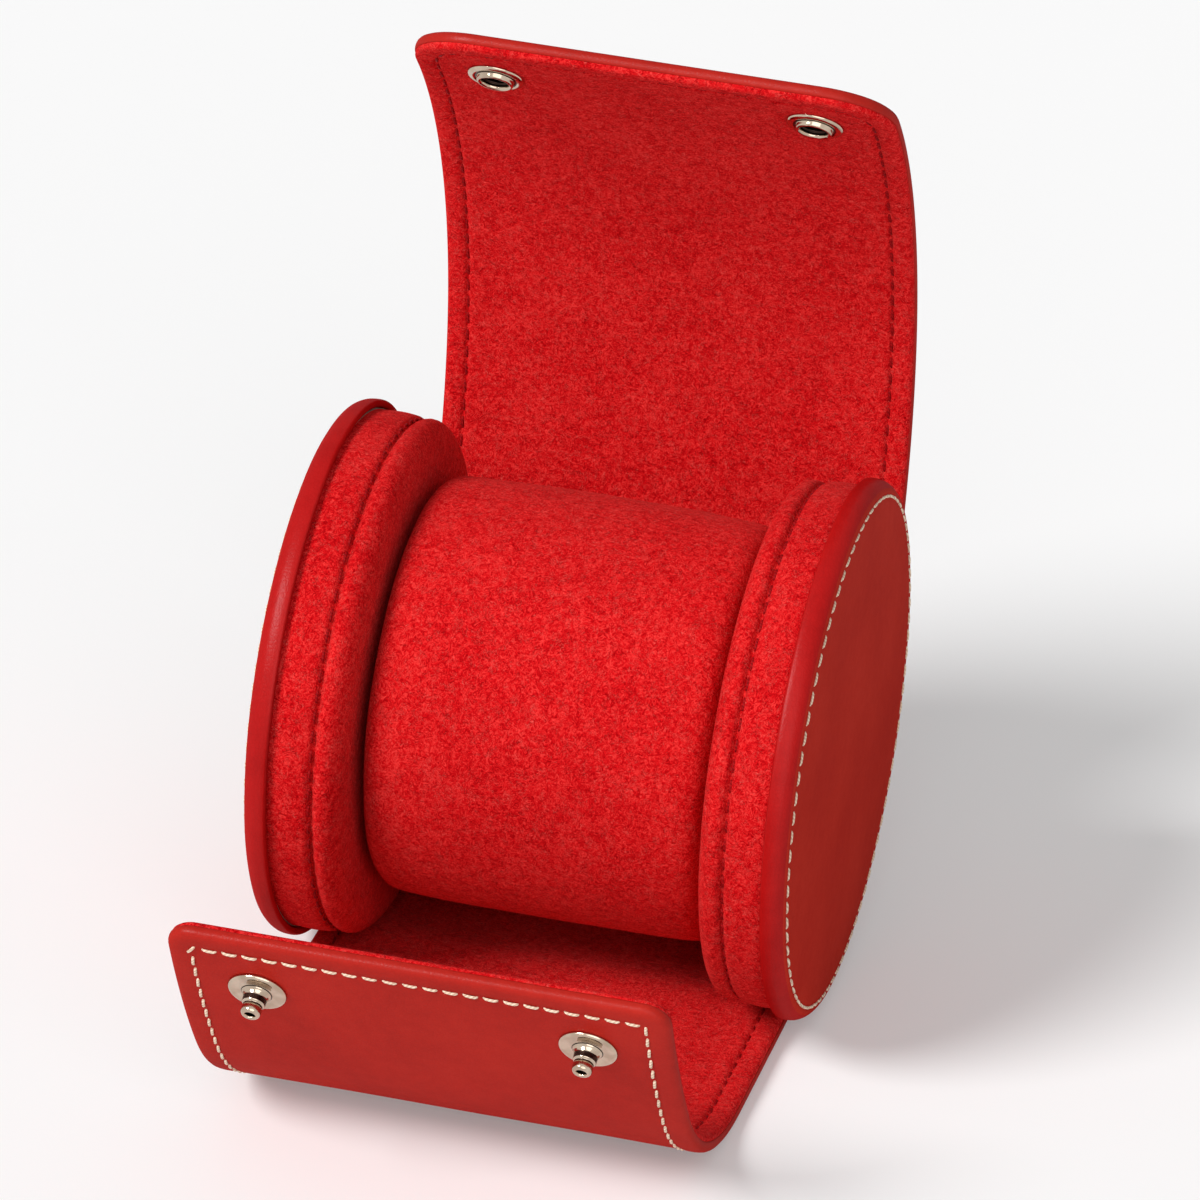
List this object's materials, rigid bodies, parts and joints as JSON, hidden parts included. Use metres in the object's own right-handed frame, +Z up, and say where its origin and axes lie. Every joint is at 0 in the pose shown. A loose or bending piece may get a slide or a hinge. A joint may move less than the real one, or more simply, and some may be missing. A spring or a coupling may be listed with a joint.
{
  "type": "watch travel roll",
  "caption": "Round travel roll for a watch: two padded end caps, a cushion between them and a suede-lined leather wrap with a bowed lid and a front flap that snap together.",
  "frame": {"origin": "on the floor under the middle of the roll's axis, on the pressed-flat sole of the wrap", "axes": "+X along the roll's axis to the viewer's right, -Y out of the front where the flap lies, +Z up"},
  "size_m": [0.084, 0.1489, 0.143],
  "materials": {
    "leather": "satin",
    "suede": "matte",
    "board": "matte",
    "foam": "matte",
    "snap_metal": "polished"
  },
  "bodies": {
    "roll": {"back_leather": "leather", "back_lining": "suede", "left_cap_leather": "leather", "left_cap_board": "board", "left_pad_strip": "suede", "left_pad_facing": "suede", "left_pad_foam": "foam", "right_cap_leather": "leather", "right_cap_board": "board", "right_pad_strip": "suede", "right_pad_facing": "suede", "right_pad_foam": "foam"},
    "pillow": {"pillow_cover": "suede", "pillow_ends": "suede", "pillow_foam": "foam"},
    "lid_1": {"lid_leather_1": "leather", "lid_lining_1": "suede"},
    "lid_2": {"lid_leather_2": "leather", "lid_lining_2": "suede"},
    "lid_3": {"lid_leather_3": "leather", "lid_lining_3": "suede"},
    "lid_4": {"lid_leather_4": "leather", "lid_lining_4": "suede"},
    "lid_5": {"lid_leather_5": "leather", "lid_lining_5": "suede", "lid_sockets": "snap_metal", "lid_snap_caps": "snap_metal"},
    "flap_1": {"flap_leather_1": "leather", "flap_lining_1": "suede"},
    "flap_2": {"flap_leather_2": "leather", "flap_lining_2": "suede"},
    "flap_3": {"flap_leather_3": "leather", "flap_lining_3": "suede"},
    "flap_4": {"flap_leather_4": "leather", "flap_lining_4": "suede"},
    "flap_5": {"flap_leather_5": "leather", "flap_lining_5": "suede", "flap_studs": "snap_metal", "flap_eyelets": "snap_metal"}
  },
  "joints": [
    {"name": "lid_fold_1", "type": "hinge", "parent": "roll", "child": "lid_1", "pos_m": [0, 0.0384, 0.02704], "axis": [1, 0, 0], "range_deg": [0, 17.28]},
    {"name": "lid_fold_2", "type": "hinge", "parent": "lid_1", "child": "lid_2", "pos_m": [0, 0.04726, 0.04711], "axis": [1, 0, 0], "range_deg": [0, 16.38]},
    {"name": "lid_fold_3", "type": "hinge", "parent": "lid_2", "child": "lid_3", "pos_m": [0, 0.0507, 0.07277], "axis": [1, 0, 0], "range_deg": [0, 13.96]},
    {"name": "lid_fold_4", "type": "hinge", "parent": "lid_3", "child": "lid_4", "pos_m": [0, 0.04593, 0.09923], "axis": [1, 0, 0], "range_deg": [0, 12.72]},
    {"name": "lid_fold_5", "type": "hinge", "parent": "lid_4", "child": "lid_5", "pos_m": [0, 0.03314, 0.12288], "axis": [1, 0, 0], "range_deg": [0, 31.7]},
    {"name": "flap_fold_1", "type": "hinge", "parent": "roll", "child": "flap_1", "pos_m": [0, -0.013, 0.0027], "axis": [-1, 0, 0], "range_deg": [0, 29.37]},
    {"name": "flap_fold_2", "type": "hinge", "parent": "flap_1", "child": "flap_2", "pos_m": [0, -0.027, 0.0027], "axis": [-1, 0, 0], "range_deg": [0, 19.18]},
    {"name": "flap_fold_3", "type": "hinge", "parent": "flap_2", "child": "flap_3", "pos_m": [0, -0.041, 0.0027], "axis": [-1, 0, 0], "range_deg": [0, 8.16]},
    {"name": "flap_fold_4", "type": "hinge", "parent": "flap_3", "child": "flap_4", "pos_m": [0, -0.06032, 0.00716], "axis": [-1, 0, 0], "range_deg": [0, 2.02]},
    {"name": "flap_fold_5", "type": "hinge", "parent": "flap_4", "child": "flap_5", "pos_m": [0, -0.07573, 0.01964], "axis": [-1, 0, 0], "range_deg": [0, 14.17]},
    {"name": "pillow_lift", "type": "slide", "parent": "roll", "child": "pillow", "axis": [0, -0.5, 0.866], "range_m": [0, 0.095]}
  ],
  "couplings": [
    {"joint": "lid_fold_2", "follows": "lid_fold_1", "ratio": 0.9468},
    {"joint": "lid_fold_3", "follows": "lid_fold_1", "ratio": 0.8067},
    {"joint": "lid_fold_4", "follows": "lid_fold_1", "ratio": 0.7351},
    {"joint": "lid_fold_5", "follows": "lid_fold_1", "ratio": 1.8333},
    {"joint": "flap_fold_2", "follows": "flap_fold_1", "ratio": 0.6523},
    {"joint": "flap_fold_3", "follows": "flap_fold_1", "ratio": 0.2772},
    {"joint": "flap_fold_4", "follows": "flap_fold_1", "ratio": 0.0681},
    {"joint": "flap_fold_5", "follows": "flap_fold_1", "ratio": 0.4816}
  ]
}
